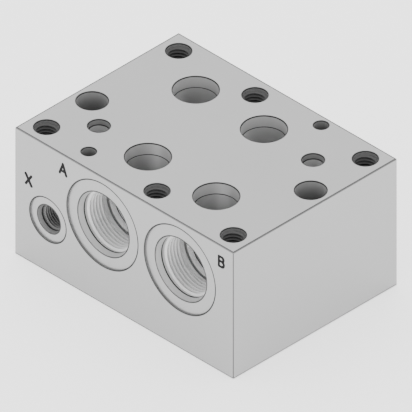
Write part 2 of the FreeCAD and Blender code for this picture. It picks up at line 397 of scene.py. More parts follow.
@dataclass(frozen=True)
class PortForm:
    """Section of a straight thread port, with its depths below the block's face.

    Attributes:
        spot_radius: radius of the spotface.
        seal_radius: radius of the seal cone's mouth.
        seal_end: depth at which the cone meets the thread's bore.
        thread_radius: major radius of the thread.
        thread_end: depth of the step behind the thread.
        tap_radius: radius of the tap drill.
        tap_end: depth down to which the tap drill is full.
        pitch: pitch of the thread.
        bores: radius that holds each stretch of the walls, and the depth down to which it does.
        spot_depth: depth of the spotface.
        spot_line: width of the line round the spotface.
        seal_line: width of the line round the seal cone's mouth.
        bore_line: half width of the line where the thread's bore starts.
        wall_line: half width of the broad line on the spotface's low wall.
        step_lap: how far the broad line of the step behind the thread laps over both its edges.
    """

    spot_radius: float
    seal_radius: float
    seal_end: float
    thread_radius: float
    thread_end: float
    tap_radius: float
    tap_end: float
    pitch: float
    bores: tuple[Pair, ...]
    spot_depth: float = 0.76 * MM
    spot_line: float = 0.78 * MM
    seal_line: float = 0.6 * MM
    bore_line: float = 0.45 * MM
    wall_line: float = 0.22 * MM
    step_lap: float = 0.16 * MM

    def walls(self) -> list[Pair]:
        """Radius that holds each stretch of the walls, and the depth down to which it does."""
        return list(self.bores)

    def edges(self) -> list[Edge]:
        """Edges of the section, from the block's face inwards."""
        return [
            Edge.rim(self.spot_radius, width=self.spot_line),
            Edge.rim(self.seal_radius, self.spot_depth, self.seal_line),
            Edge(self.thread_radius, self.seal_end, self.bore_line),
            Edge(self.tap_radius, self.tap_end),
        ]

    def bands(self) -> list[Edge]:
        """The spotface's low wall and the step behind the thread, each painted in shade as one broad
        dark line.
        """
        step = (self.thread_radius - self.tap_radius) / 2
        return [
            Edge(self.spot_radius, self.spot_depth / 2, self.wall_line),
            Edge(self.tap_radius + step, self.thread_end, step + self.step_lap),
        ]


MAIN_PORT = PortForm(
    spot_radius=24.4 * MM,
    seal_radius=17.75 * MM,
    seal_end=4.06 * MM,
    thread_radius=16.67 * MM,
    thread_end=19.81 * MM,
    tap_radius=15.6 * MM,
    tap_end=23.46 * MM,
    pitch=INCH / 12,
    bores=((18.0 * MM, 23.6 * MM), (11.3 * MM, 42.0 * MM)),
)
PILOT_PORT = PortForm(
    spot_radius=12.325 * MM,
    seal_radius=7.8 * MM,
    seal_end=3.26 * MM,
    thread_radius=7.145 * MM,
    thread_end=13.46 * MM,
    tap_radius=6.5 * MM,
    tap_end=16.26 * MM,
    pitch=INCH / 18,
    bores=((8.0 * MM, 16.4 * MM), (5.4 * MM, 42.0 * MM)),
)
RELIEF_PORT = replace(
    MAIN_PORT,
    thread_end=22.96 * MM,
    tap_radius=14.3 * MM,
    tap_end=54.1 * MM,
    bores=(
        (18.0 * MM, 23.1 * MM),
        (14.5 * MM, 54.2 * MM),
        (12.9 * MM, 66.9 * MM),
        (10.5 * MM, 100.0 * MM),
    ),
)


class Block:
    """The block's box and the places of its holes, as the frame states them."""

    def __init__(self) -> None:
        """Read the node's box, the mounts and the openings."""
        low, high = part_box(NODE)
        self.half = ((high[0] - low[0]) / 2, (high[1] - low[1]) / 2, (high[2] - low[2]) / 2)
        self.height = high[2]
        record = frame["record"]
        self.mounts = {mount["name"]: mount for mount in record["mounts"]}
        openings = record["physics"]["openings"]
        self.spaces = {space["name"]: np.array(space["box_m"]) for space in openings}

    def plan(self, *names: str) -> list[Pair]:
        """Centres seen from above of some mounts or openings.

        Args:
            *names: names in the record.

        Returns:
            X and Y of each.
        """
        places = []
        for name in names:
            place = self.mounts[name]["pos_m"] if name in self.mounts else self.spaces[name].mean(axis=0)
            places.append((float(place[0]), float(place[1])))
        return places

    def corner_bolts(self) -> list[Pair]:
        """Centres of the four corner bolts, seen from above.

        Returns:
            X and Y of each.
        """
        sizes = self.mounts["valve_corner_bolts"]["dims"]
        x, y = sizes["spacing_x_mm"] * MM / 2, sizes["spacing_y_mm"] * MM / 2
        return [(-x, y), (x, y), (x, -y), (-x, -y)]

    def mouth(self, name: str) -> tuple[np.ndarray, np.ndarray]:
        """Centre of a side hole's mouth, on the block's face, and the direction inwards.

        Args:
            name: name of its mount.

        Returns:
            The centre and the direction.
        """
        mount = self.mounts[name]
        inward = -np.array(mount["axis"], dtype=float)
        axis = int(np.argmax(np.abs(inward)))
        centre = np.array(mount["pos_m"], dtype=float)
        centre[axis] = -inward[axis] * self.half[axis]
        return centre, inward

    def elevation(self, across: int, *names: str) -> list[Pair]:
        """Centres of some side holes, seen from their side.

        Args:
            across: number of the axis that lies level in that view.
            *names: names of their mounts.

        Returns:
            Place along that axis, and Z, of each.
        """
        mouths = [self.mouth(name)[0] for name in names]
        return [(float(mouth[across]), float(mouth[2])) for mouth in mouths]


# Meshes


def link_object(name: str, data: bpy.types.ID) -> bpy.types.Object:
    """Make an object and put it into the scene.

    Args:
        name: name of the object.
        data: its mesh, light or camera.

    Returns:
        The object.
    """
    item = bpy.data.objects.new(name, data)
    bpy.context.scene.collection.objects.link(item)
    return item


def tube_mesh(name: str, rings: np.ndarray) -> bpy.types.Object:
    """Closed tube through a row of rings, with both ends closed.

    The grid's first index runs along the tube and its second round each ring. Face (i, j) joins
    ring points j and j + 1 of rings i and i + 1, with j + 1 taken round to nought.

    Args:
        name: name of the object.
        rings: array of shape (rings, points, 3), in metres.

    Returns:
        An object at the origin, with its normals outward.
    """
    count, around, _ = rings.shape
    i, j = np.meshgrid(np.arange(count - 1), np.arange(around), indexing="ij")
    following = (j + 1) % around
    near, far = i * around, (i + 1) * around
    faces = np.stack((near + j, near + following, far + following, far + j), axis=-1).reshape(-1, 4)
    ends = [list(range(around)), list(range((count - 1) * around, count * around))]
    mesh = bpy.data.meshes.new(name)
    mesh.from_pydata(rings.reshape(-1, 3).tolist(), [], faces.tolist() + ends)
    return clean_object(name, mesh)


def clean_object(name: str, mesh: bpy.types.Mesh, gap: float = 1e-6) -> bpy.types.Object:
    """Merge the points of poles and seams, turn all normals out and link the object.

    Args:
        name: name of the object.
        mesh: its mesh.
        gap: points nearer than this are merged, in metres.

    Returns:
        The object.
    """
    work = bmesh.new()
    work.from_mesh(mesh)
    bmesh.ops.remove_doubles(work, verts=work.verts, dist=gap)
    bmesh.ops.recalc_face_normals(work, faces=work.faces)
    work.to_mesh(mesh)
    work.free()
    mesh.validate()
    return link_object(name, mesh)


def join_meshes(name: str, parts: list[bpy.types.Object]) -> bpy.types.Object:
    """One object with the meshes of several.

    Args:
        name: name of the joined object.
        parts: objects at the origin, which are removed.

    Returns:
        The joined object.
    """
    work = bmesh.new()
    for part in parts:
        work.from_mesh(part.data)
        bpy.data.meshes.remove(part.data)
    mesh = bpy.data.meshes.new(name)
    work.to_mesh(mesh)
    work.free()
    return link_object(name, mesh)


def place_piece(item: bpy.types.Object, material: bpy.types.Material) -> None:
    """Dress a new piece and make it ride on the block.

    Args:
        item: the piece.
        material: its finish.
    """
    item.data.materials.append(material)
    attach(item, BODY)
    log.info("%s: %d faces", item.name, len(item.data.polygons))


# Threads


# Flank angle of a 60 degree thread, and its section's sizes as shares of the pitch
FLANK = math.radians(30.0)
RIDGE_HEIGHT = 0.5413
HALF_CREST = 1 / 16
HALF_FOOT = 7 / 16


@dataclass(frozen=True)
class Thread:
    """Helical ridge of a 60 degree thread inside a bore that is as wide as its major diameter.

    Attributes:
        name: name of the piece.
        centre: middle of the hole's mouth.
        inward: direction of the axis, into the block.
        radius: major radius.
        pitch: axial step of one turn.
        start: depth of the first turn below the mouth.
        end: depth of the last turn.
        finish: its finish.
        steps: rings in one turn.
        embed: how far the ridge's foot lies in the wall, so that no gap shows.
        runout: turns over which the ridge grows at the start and dies at the end.
        least: share of its full size that it has at both ends.
    """

    name: str
    centre: np.ndarray
    inward: np.ndarray
    radius: float
    pitch: float
    start: float
    end: float
    finish: "CutThread"
    steps: int = 60
    embed: float = 0.12 * MM
    runout: float = 0.4
    least: float = 0.04

    def rings(self) -> np.ndarray:
        """Rings of the ridge along its helix.

        A turn t puts the section at the angle 2 pi t and at the depth start + pitch t. The section
        has a foot at the major radius and a flat crest an eighth of a pitch wide, and it stands
        0.5413 of a pitch high, which gives flanks at 30 degrees to the radius. Its size is
        multiplied by a smooth step near both ends.

        Returns:
            Array of shape (rings, 4, 3).
        """
        turns = (self.end - self.start) / self.pitch
        turn = np.linspace(0.0, turns, int(turns * self.steps) + 1)
        along = np.minimum(turn, turns - turn) / self.runout
        growth = self.least + (1.0 - self.least) * np.sin(np.clip(along, 0.0, 1.0) * math.pi / 2) ** 2
        foot = (HALF_FOOT * self.pitch + self.embed * math.tan(FLANK)) * growth
        crest = HALF_CREST * self.pitch * growth
        outer = np.full_like(turn, self.radius + self.embed)
        inner = outer - (RIDGE_HEIGHT * self.pitch + self.embed) * growth
        depth = self.start + self.pitch * turn
        radii = np.stack((outer, inner, inner, outer), axis=1)
        depths = depth[:, None] + np.stack((-foot, -crest, crest, foot), axis=1)
        across, up = self._cross_axes()
        angle = (2 * math.pi * turn)[:, None, None]
        spoke = np.cos(angle) * across + np.sin(angle) * up
        return self.centre + depths[:, :, None] * self.inward + radii[:, :, None] * spoke

    def _cross_axes(self) -> tuple[np.ndarray, np.ndarray]:
        """Two directions that make a right-handed set with the inward axis.

        Returns:
            The two directions.
        """
        helper = np.array((0.0, 0.0, 1.0)) if abs(self.inward[2]) < 0.5 else np.array((1.0, 0.0, 0.0))
        across = np.cross(helper, self.inward)
        return across, np.cross(self.inward, across)

    def build(self, material: bpy.types.Material) -> None:
        """Make the ridge and dress it."""
        place_piece(tube_mesh(self.name, self.rings()), material)


@dataclass(frozen=True)
class ThreadSet:
    """All threads of the block: side ports, relief cavity and valve bolts.

    Attributes:
        block: the block's places.
        bolt_pitch: pitch of the valve bolts, thirteen turns to the inch.
        bolt_depth: depth of the bolts' last turn.
        lead: depth of a bolt hole's first turn.
        gap: share of a pitch from a port's seal cone to its first turn.
        plain: length without thread before the step at the end of a port's bore.
        main_steps: rings in one turn of a wide port's thread.
    """

    block: Block
    bolt_pitch: float = INCH / 13
    bolt_depth: float = 26.0 * MM
    lead: float = 1.2 * MM
    gap: float = 0.3
    plain: float = 2.3 * MM
    main_steps: int = 96

    def side_threads(self) -> list[Thread]:
        """Threads of the side ports and the relief cavity.

        Returns:
            The threads.
        """
        forms = {f"side_port_{letter}": MAIN_PORT for letter in "abpt"}
        forms |= {f"side_port_{letter}": PILOT_PORT for letter in "xy"}
        forms["relief_cavity"] = RELIEF_PORT
        threads = []
        for name, form in forms.items():
            centre, inward = self.block.mouth(name)
            pilot = form is PILOT_PORT
            threads.append(
                Thread(
                    name=f"thread_{name}",
                    centre=centre,
                    inward=inward,
                    radius=form.thread_radius,
                    pitch=form.pitch,
                    start=form.seal_end + self.gap * form.pitch,
                    end=form.thread_end - self.plain,
                    finish=PILOT_THREAD_PAINTED_SHADE if pilot else PORT_THREAD_PAINTED_LIGHT,
                    steps=Thread.steps if pilot else self.main_steps,
                )
            )
        return threads

    def bolt_threads(self) -> list[Thread]:
        """Threads of the six valve bolt holes.

        Returns:
            The threads.
        """
        centres = self.block.corner_bolts()
        centres += self.block.plan("bolt_hole_middle_back", "bolt_hole_middle_front")
        return [
            Thread(
                name=f"thread_valve_bolt_{number}",
                centre=np.array((x, y, self.block.height)),
                inward=np.array((0.0, 0.0, -1.0)),
                radius=VALVE_BOLT.radius,
                pitch=self.bolt_pitch,
                start=self.lead,
                end=self.bolt_depth,
                finish=BOLT_THREAD_PAINTED_SHADE,
            )
            for number, (x, y) in enumerate(centres, start=1)
        ]

    def build(self) -> None:
        """Make every thread and dress it."""
        materials = {finish: finish.build() for finish in (PORT_THREAD_PAINTED_LIGHT, PILOT_THREAD_PAINTED_SHADE, BOLT_THREAD_PAINTED_SHADE)}
        for thread in self.side_threads() + self.bolt_threads():
            thread.build(materials[thread.finish])


# Port marks


def straight(start: Pair, end: Pair, steps: int = 12) -> np.ndarray:
    """Points of a straight stroke, evenly spaced from its start to its end."""
    return np.linspace(start, end, steps)


def bowl(bottom: float, top: float, reach: float, steps: int = 28) -> np.ndarray:
    """Points of a round bowl at the right of a letter's stem.

    It leaves the stem along a level line at the top, turns half a circle whose centre is half way
    between top and bottom, and comes back along a level line at the bottom.

    Args:
        bottom: height of its lower line.
        top: height of its upper line.
        reach: how far it stands out from the stem.
        steps: points of the half circle.

    Returns:
        Array of points.
    """
    radius = (top - bottom) / 2
    centre = np.array((reach - radius, bottom + radius))
    angle = np.linspace(math.pi / 2, -math.pi / 2, steps)
    arc = centre + radius * np.stack((np.cos(angle), np.sin(angle)), axis=1)
    upper = straight((0.0, top), tuple(arc[0]), 8)
    lower = straight(tuple(arc[-1]), (0.0, bottom), 8)
    return np.concatenate((upper[:-1], arc, lower[1:]))


@dataclass(frozen=True)
class Lettering:
    """Capitals whose strokes have round ends, as an engraver leaves them.

    Attributes:
        height: height of a letter between its stroke centres.
        width: width of the broadest letter between its stroke centres.
        narrow: share of it that the others are wide.
        weight: width of a level or an upright stroke.
        sloped: how much heavier sloped strokes are.
        falling: how much heavier still those are that fall to the right, and lighter the others.
        proud: how far the fill stands out of the face.
        layer: how much further each next stroke does, so that crossing strokes don't coincide.
        embed: how deep the fill goes.
        flat: share of a stroke's half width that lies level, between its broken edges.
        waist: height of B's waist, as a share of the letter's height.
        loop: height of the lower line of P's bowl, likewise.
        bar: height of A's bar, likewise.
        fork: height of Y's fork, likewise.
        bowls: reach of B's upper bowl, of its lower one and of P's, as shares of the width.
    """

    height: float = 5.83 * MM
    width: float = 4.54 * MM
    narrow: float = 0.845
    weight: float = 1.52 * MM
    sloped: float = 0.25
    falling: float = 0.33
    proud: float = 0.02 * MM
    layer: float = 0.004 * MM
    embed: float = 0.2 * MM
    flat: float = 0.86
    waist: float = 0.55
    loop: float = 0.44
    bar: float = 0.29
    fork: float = 0.48
    bowls: Triple = (0.84, 0.90, 0.88)

    def strokes(self, letter: str) -> list[np.ndarray]:
        """Strokes of a letter, about the middle of its box.

        Args:
            letter: one of the port letters.

        Returns:
            One array of points for each stroke.
        """
        w, h = self.width * (1.0 if letter == "A" else self.narrow), self.height
        waist, bar, fork = self.waist * h, self.bar * h, (w / 2, self.fork * h)
        foot = w / 2 * self.bar
        upper, lower, single = (share * w for share in self.bowls)
        stem = straight((0.0, 0.0), (0.0, h))
        shapes = {
            "X": [straight((0.0, h), (w, 0.0)), straight((w, h), (0.0, 0.0))],
            "A": [
                straight((0.0, 0.0), (w / 2, h)),
                straight((w / 2, h), (w, 0.0)),
                straight((foot, bar), (w - foot, bar)),
            ],
            "B": [stem, bowl(waist, h, upper), bowl(0.0, waist, lower)],
            "P": [stem, bowl(self.loop * h, h, single)],
            "T": [straight((0.0, h), (w, h)), straight((w / 2, h), (w / 2, 0.0))],
            "Y": [straight((0.0, h), fork), straight((w, h), fork), straight(fork, (w / 2, 0.0))],
        }
        strokes = shapes[letter]
        points = np.concatenate(strokes)
        middle = (points.min(axis=0) + points.max(axis=0)) / 2
        return [stroke - middle for stroke in strokes]

    def half_width(self, path: np.ndarray) -> np.ndarray:
        """Half width of a stroke along its path.

        Strokes that fall to the right are heavier, as in most printed capitals. With h and v the
        level and upright parts of the direction, the width is the weight times
        1 + sloped |h v| - falling h v.

        Args:
            path: points of the stroke.

        Returns:
            Half width at each point.
        """
        slope = np.gradient(path, axis=0)
        slope /= np.linalg.norm(slope, axis=1, keepdims=True)
        level, upright = slope.T
        slant = level * upright
        return self.weight / 2 * (1.0 + self.sloped * np.abs(slant) - self.falling * slant)

    def ribbon(self, path: np.ndarray, cap_steps: int = 8) -> tuple[np.ndarray, np.ndarray]:
        """Middle line and half width of a stroke with round ends.

        The path runs on by its half width past both its ends. There the half width is the square
        root of r squared less the square of the distance past the end, which is a half circle.

        Args:
            path: points of the stroke.
            cap_steps: points added at each end.

        Returns:
            Points of the longer path and the half width at each.
        """
        width = self.half_width(path)
        turn = np.linspace(0.0, math.pi / 2, cap_steps, endpoint=False)
        past = np.cos(turn)[:, None]
        first = path[0] - path[1]
        last = path[-1] - path[-2]
        head = path[0] + width[0] * past * first / np.linalg.norm(first)
        tail = path[-1] + width[-1] * past[::-1] * last / np.linalg.norm(last)
        cap = np.sin(turn)
        widths = np.concatenate((width[0] * cap, width, width[-1] * cap[::-1]))
        return np.concatenate((head, path, tail)), widths

    def rings(self, path: np.ndarray, number: int) -> np.ndarray:
        """Rings of a stroke's fill, in the letter's own plane.

        The section is a flat strip with broken edges: six points across the stroke, at the given
        shares of the half width and at the given heights above the face.

        Args:
            path: points of the stroke.
            number: place of the stroke in its letter, from nought.

        Returns:
            Array of shape (rings, 6, 3): right, up and out of the face.
        """
        line, width = self.ribbon(path)
        slope = np.gradient(line, axis=0)
        slope /= np.linalg.norm(slope, axis=1, keepdims=True)
        normal = np.stack((-slope[:, 1], slope[:, 0]), axis=1)
        shares = np.array((-1.0, -1.0, -self.flat, self.flat, 1.0, 1.0))
        proud = self.proud + number * self.layer
        heights = np.array((-self.embed, 0.0, proud, proud, 0.0, -self.embed))
        flat = line[:, None, :] + normal[:, None, :] * (width[:, None] * shares)[:, :, None]
        out = np.broadcast_to(heights, flat.shape[:2])[:, :, None]
        return np.concatenate((flat, out), axis=2)


@dataclass(frozen=True)
class PortMark:
    """One port letter on a long side of the block.

    Attributes:
        letter: the letter.
        side: the face it stands on.
        across: X of its middle.
        drop: how far its middle lies under the valve face.
    """

    letter: str
    side: Side
    across: float
    drop: float

    def build(self, block: Block, lettering: Lettering, material: bpy.types.Material) -> None:
        """Make the letter's fill.

        Args:
            block: the block's places.
            lettering: the letter form.
            material: the fill.
        """
        out = np.array((0.0, self.side.value, 0.0))
        right = np.array((-self.side.value, 0.0, 0.0))
        up = np.array((0.0, 0.0, 1.0))
        middle = np.array((self.across, self.side.value * block.half[1], block.height - self.drop))
        name = f"mark_{self.letter.lower()}"
        parts = []
        for number, path in enumerate(lettering.strokes(self.letter)):
            local = lettering.rings(path, number)
            rings = middle + local @ np.stack((right, up, out))
            parts.append(tube_mesh(f"{name}_{number}", rings))
        place_piece(join_meshes(name, parts), material)


@dataclass(frozen=True)
class MarkSet:
    """Letters of all side ports.

    Those of the back stand to their ports as those of the front do, with the block turned round.

    Attributes:
        block: the block's places.
        lettering: the letter form.
        rows: letter on the front, its like on the back, and X and drop of the first.
    """

    block: Block
    lettering: Lettering = Lettering()
    rows: tuple[tuple[str, str, float, float], ...] = (
        ("A", "P", -42.6 * MM, 8.67 * MM),
        ("B", "T", 67.83 * MM, 9.51 * MM),
        ("X", "Y", -66.52 * MM, 26.95 * MM),
    )

    def marks(self) -> list[PortMark]:
        """Marks of both sides.

        Returns:
            The marks.
        """
        marks = []
        for front, back, across, drop in self.rows:
            ports = [f"side_port_{letter.lower()}" for letter in (front, back)]
            high, low = (place[1] for place in self.block.elevation(0, *ports))
            marks.append(PortMark(front, Side.FRONT, across, drop))
            marks.append(PortMark(back, Side.BACK, -across, drop + high - low))
        return marks

    def build(self) -> None:
        """Make every letter and dress it."""
        fill = MarkFill().build()
        for mark in self.marks():
            mark.build(self.block, self.lettering, fill)


# Finishes


@dataclass(frozen=True)
class HoleLook:
    """How one family of like holes looks in the block's finish.

    Attributes:
        form: section of the holes.
        radial: distance of the shaded point from the nearest axis of the family.
        axial: its depth below the face that the holes enter.
        painted_shading: painted light and shade of the walls, as (depth in millimetres, tone) pairs.
        line: tone of the fine lines along the section's edges.
        band: tone of the broad lines, which paint the shade of walls and steps too narrow to carry a
            shading of their own.
        blur: how softly a line ends.
    """

    form: Union[FaceForm, PortForm]
    radial: Expr
    axial: Expr
    painted_shading: Tones
    line: float = 0.03
    band: float = 0.20
    blur: float = 0.1 * MM

    def inside(self) -> Expr:
        """One on the family's own walls, nought elsewhere."""
        parts = [self.radial.below(radius) * self.axial.below(end) for radius, end in self.form.walls()]
        return reduce(Expr.most, parts)

    def painted_wall_shading(self, shader: Shader) -> Expr:
        """Painted light and shade of the wall, by the depth of the shaded point."""
        limit = self.painted_shading[-1][0]
        stops = [(depth / limit, tone) for depth, tone in self.painted_shading]
        return shader.ramp(self.axial / (limit * MM), stops)

    def drawn(self, shader: Shader, edges: list[Edge]) -> Expr:
        """Mask of the lines along some edges.

        Args:
            shader: the material.
            edges: the edges.

        Returns:
            One on the lines, nought off them.
        """
        point = shader.vector(self.radial, self.axial)
        gaps = [shader.distance(point, (edge.radius, edge.depth)) - edge.reach for edge in edges]
        return reduce(Expr.least, gaps).fade(-self.blur, 0.0)

    def lined(self, shader: Shader, tone: Expr) -> Expr:
        """Draw the family's broad lines of painted shade and over them its fine ones.

        Args:
            shader: the material.
            tone: brightness without them.

        Returns:
            Brightness with them.
        """
        bands = self.form.bands()
        if bands:
            tone = tone.towards(self.band, self.drawn(shader, bands))
        return tone.towards(self.line, self.drawn(shader, self.form.edges()))


@dataclass(frozen=True)
class FaceMill:
    """Face mill, by the arcs that it leaves.

    Attributes:
        radius: its radius.
        feed: how far it moves in one turn.
    """

    radius: float
    feed: float

    def arcs(self, along: Expr, across: Expr) -> Expr:
        """Relief of the arcs.

        Each tooth pass is the arc along - sqrt(radius squared - across squared) = constant, and
        the passes follow each other a feed apart.

        Args:
            along: place along the feed.
            across: place across it, from the middle of the face.

        Returns:
            Relief about nought.
        """
        bow = (self.radius * self.radius - across * across).most(0.0).root()
        return (along - bow).wave(self.feed) - 0.5


@dataclass(frozen=True)
class MilledAluminium:
    """Finish of the block: fly-cut faces, turned spotfaces, bored walls and broken edges.

    Brightness along a hole's wall is painted light and shade, given as (depth in millimetres, tone)
    pairs.

    Attributes:
        face_tone: brightness of a milled face.
        outline_tone: brightness of the line round the valve face and along the foot.
        rim_tone: brightness of the broken level edges.
        corner_tone: brightness of the broken upright edges.
        bolt_painted_shade: walls of the valve bolts' holes, with painted shade that darkens them with
            depth.
        supply_painted_light_and_shade: walls of face ports P and T, with painted light near the mouth
            and painted shade deeper down.
        work_painted_light_and_shade: walls of face ports A and B, with painted light near the mouth and
            deeper painted shade further down.
        pilot_painted_light_and_shade: walls of face ports X and Y, with painted shade above their step
            and painted light below it.
        pin_painted_shade: walls of the pin holes, with painted shade that darkens them with depth.
        screw_painted_light_and_shade: walls of the fixing screws' holes, with painted light near the
            mouth and painted shade deeper down.
        side_painted_light: walls of side ports A, B, P and T, with painted light that brightens them
            with depth.
        side_pilot_painted_shade: walls of side ports X and Y, with painted shade.
        relief_painted_light: walls of the relief cavity, with painted light.
        edge_break: size of the broken edges.
        outline: width of the line inside the valve face's broken edges.
        foot: width of the line above the foot's broken edges.
        skin: how near to a face a point counts as on it.
        wall_none: distance in from the sides up to which the look of bored walls doesn't show.
        wall_full: distance from which it shows in full.
        top_share: how many times nearer to the valve face and the bottom both distances are.
        metallic: how metallic a milled face is.
        bore_metallic: how metallic a drilled or bored wall is.
        roughness: roughness of a milled face.
        bore_roughness: roughness of a drilled or bored wall.
        cloud_scale: waves in one metre of the metal's cloudy variation.
        cloud_tone: how much that changes brightness.
        cloud_roughness: how much it changes roughness.
        grain_scale: waves in one metre of the metal's grain.
        grain_tone: how much that changes brightness.
        relief: height of the tool marks.
        bore_feed: spacing of the marks in the holes.
        top_mill: mill that cut the valve face and the bottom.
        side_mill: mill that cut the four sides.
    """

    face_tone: float = 0.37
    outline_tone: float = 0.06
    rim_tone: float = 0.19
    corner_tone: float = 0.13
    # Painted light and shade down the holes: walls brighter than the faces near most mouths, darker with
    # depth in the narrow holes, and brighter with depth in the side ports.
    bolt_painted_shade: Tones = ((0.0, 0.30), (4.0, 0.19), (9.0, 0.05), (27.0, 0.03))
    supply_painted_light_and_shade: Tones = ((0.0, 0.55), (6.6, 0.47), (7.0, 0.43), (16.0, 0.30), (40.0, 0.30))
    work_painted_light_and_shade: Tones = ((0.0, 0.47), (6.6, 0.40), (7.0, 0.32), (16.0, 0.15), (40.0, 0.12))
    pilot_painted_light_and_shade: Tones = ((0.0, 0.30), (3.0, 0.30), (3.6, 0.62), (40.0, 0.50))
    pin_painted_shade: Tones = ((0.0, 0.36), (5.0, 0.20), (9.0, 0.15))
    screw_painted_light_and_shade: Tones = ((0.0, 0.44), (6.0, 0.32), (12.0, 0.20), (76.0, 0.30))
    side_painted_light: Tones = (
        (0.0, 0.50),
        (3.8, 0.50),
        (4.6, 0.58),
        (17.0, 0.80),
        (19.8, 0.88),
        (20.0, 0.97),
        (42.0, 0.97),
    )
    side_pilot_painted_shade: Tones = ((0.0, 0.30), (3.0, 0.26), (42.0, 0.20))
    relief_painted_light: Tones = ((0.0, 0.50), (23.0, 0.60), (100.0, 0.60))
    edge_break: float = 0.4 * MM
    outline: float = 0.6 * MM
    foot: float = 0.45 * MM
    skin: float = 0.02 * MM
    wall_none: float = 0.9 * MM
    wall_full: float = 1.1 * MM
    top_share: float = 3.0
    metallic: float = 0.90
    bore_metallic: float = 0.55
    roughness: float = 0.42
    bore_roughness: float = 0.55
    cloud_scale: float = 35.0
    cloud_tone: float = 0.04
    cloud_roughness: float = 0.10
    grain_scale: float = 900.0
    grain_tone: float = 0.03
    relief: float = 0.004 * MM
    bore_feed: float = 0.55 * MM
    top_mill: FaceMill = FaceMill(78.0 * MM, 1.3 * MM)
    side_mill: FaceMill = FaceMill(55.0 * MM, 1.1 * MM)

    def top_looks(self, shader: Shader, block: Block, at: Exprs) -> list[HoleLook]:
        """Families of the holes in the valve face.

        The bolt holes and the pilot ports lie the same when the block is turned half round about Z,
        so those of the front half are read in the back half. The pins and the fixing screws don't.

        Args:
            shader: the material.
            block: the block's places.
            at: X, Y and Z of the shaded point.

        Returns:
            The families.
        """
        x, y, z = at
        depth = block.height - z
        half = y.sign()
        turned = shader.vector(x * half, y * half)
        plan = shader.vector(x, y)
        bolts = [centre for centre in block.corner_bolts() if centre[1] > 0.0]
        bolts += block.plan("bolt_hole_middle_back")
        families = (
            (VALVE_BOLT, turned, bolts, self.bolt_painted_shade),
            (MAIN_MOUTH, plan, block.plan("face_port_p", "face_port_t"), self.supply_painted_light_and_shade),
            (MAIN_MOUTH, plan, block.plan("face_port_a", "face_port_b"), self.work_painted_light_and_shade),
            (PILOT_MOUTH, turned, block.plan("face_port_y"), self.pilot_painted_light_and_shade),
            (VALVE_PIN, plan, block.plan("valve_pin_back", "valve_pin_front"), self.pin_painted_shade),
            (FIXING_SCREW, plan, block.plan("screw_hole_left", "screw_hole_right"), self.screw_painted_light_and_shade),
        )
        return [
            HoleLook(form, shader.nearest(point, centres), depth, painted_shading)
            for form, point, centres, painted_shading in families
        ]

    def side_looks(self, shader: Shader, block: Block, at: Exprs) -> list[HoleLook]:
        """Families of the side ports and of the relief cavity.

        Seen from outside, the ports of the back lie as those of the front do, apart from the
        height of the two main ones. So the back is read as if it were the front, with its main
        ports lifted to the height of the front's.

        Args:
            shader: the material.
            block: the block's places.
            at: X, Y and Z of the shaded point.

        Returns:
            The families.
        """
        x, y, z = at
        half = y.sign()
        across = x * half * -1.0
        depth = block.half[1] - abs(y)
        mains = block.elevation(0, "side_port_a", "side_port_b")
        lift = mains[0][1] - block.elevation(0, "side_port_p")[0][1]
        level = z + (half * 0.5 + 0.5) * lift
        pilot = block.elevation(0, "side_port_x")
        relief = block.elevation(1, "relief_cavity")
        families = (
            (MAIN_PORT, shader.vector(across, level), mains, depth, self.side_painted_light),
            (PILOT_PORT, shader.vector(across, z), pilot, depth, self.side_pilot_painted_shade),
            (RELIEF_PORT, shader.vector(y, z), relief, x + block.half[0], self.relief_painted_light),
        )
        return [
            HoleLook(form, shader.nearest(point, centres), axial, painted_shading)
            for form, point, centres, axial, painted_shading in families
        ]

    def build(self, block: Block) -> bpy.types.Material:
        """Make the block's finish.

        Args:
            block: the block's places.

        Returns:
            The material.
        """
        shader = Shader("milled_aluminium")
        x, y, z = at = shader.split(shader.place())
        gaps = (block.half[0] - abs(x), block.half[1] - abs(y), block.half[2] - abs(z - block.half[2]))
        inward = gaps[0].least(gaps[1]).least(gaps[2] * self.top_share)
        wall = inward.fade(self.wall_full, self.wall_none)
        cloud = shader.noise(self.cloud_scale, 3.0) - 0.5
        grain = shader.noise(self.grain_scale, 2.0) - 0.5
        tone = self.face_tone * (cloud * self.cloud_tone + grain * self.grain_tone + 1.0)
        marks = self.face_marks(block, gaps, at)
        looks = self.top_looks(shader, block, at) + self.side_looks(shader, block, at)
        # Paint each family's light and shade down its walls, along with its tool marks; then draw its
        # lines.
        for look in looks:
            inside = look.inside() * wall
            tone = tone.towards(look.painted_wall_shading(shader), inside)
            marks = marks + inside * (look.axial.wave(self.bore_feed) - 0.5)
        for look in looks:
            tone = look.lined(shader, tone)
        tone = self.edged(tone, block, gaps, z)
        roughness = self.roughness + (self.bore_roughness - self.roughness) * wall
        return shader.finish(
            Base_Color=shader.grey(tone),
            Metallic=self.metallic + (self.bore_metallic - self.metallic) * wall,
            Roughness=cloud * self.cloud_roughness + roughness,
            Normal=shader.bump(marks, self.relief),
        )

    def edged(self, tone: Expr, block: Block, gaps: Exprs, z: Expr) -> Expr:
        """Darken the block's broken edges, and draw the lines beside those of the face and foot.

        Args:
            tone: brightness of the faces.
            block: the block's places.
            gaps: distance in from each pair of faces.
            z: Z of the shaded point.

        Returns:
            Brightness with the edges.
        """
        depth = block.height - z
        nearest = gaps[0].least(gaps[1])
        upright = (gaps[0] + gaps[1]).below(self.edge_break + self.skin)
        level = (nearest + gaps[2]).below(self.edge_break + self.skin)
        outline = depth.below(self.skin) * nearest.below(self.edge_break + self.outline)
        foot = nearest.below(self.skin) * z.below(self.edge_break + self.foot)
        tone = tone.towards(self.rim_tone, level)
        tone = tone.towards(self.corner_tone, upright)
        return tone.towards(self.outline_tone, outline.most(foot))

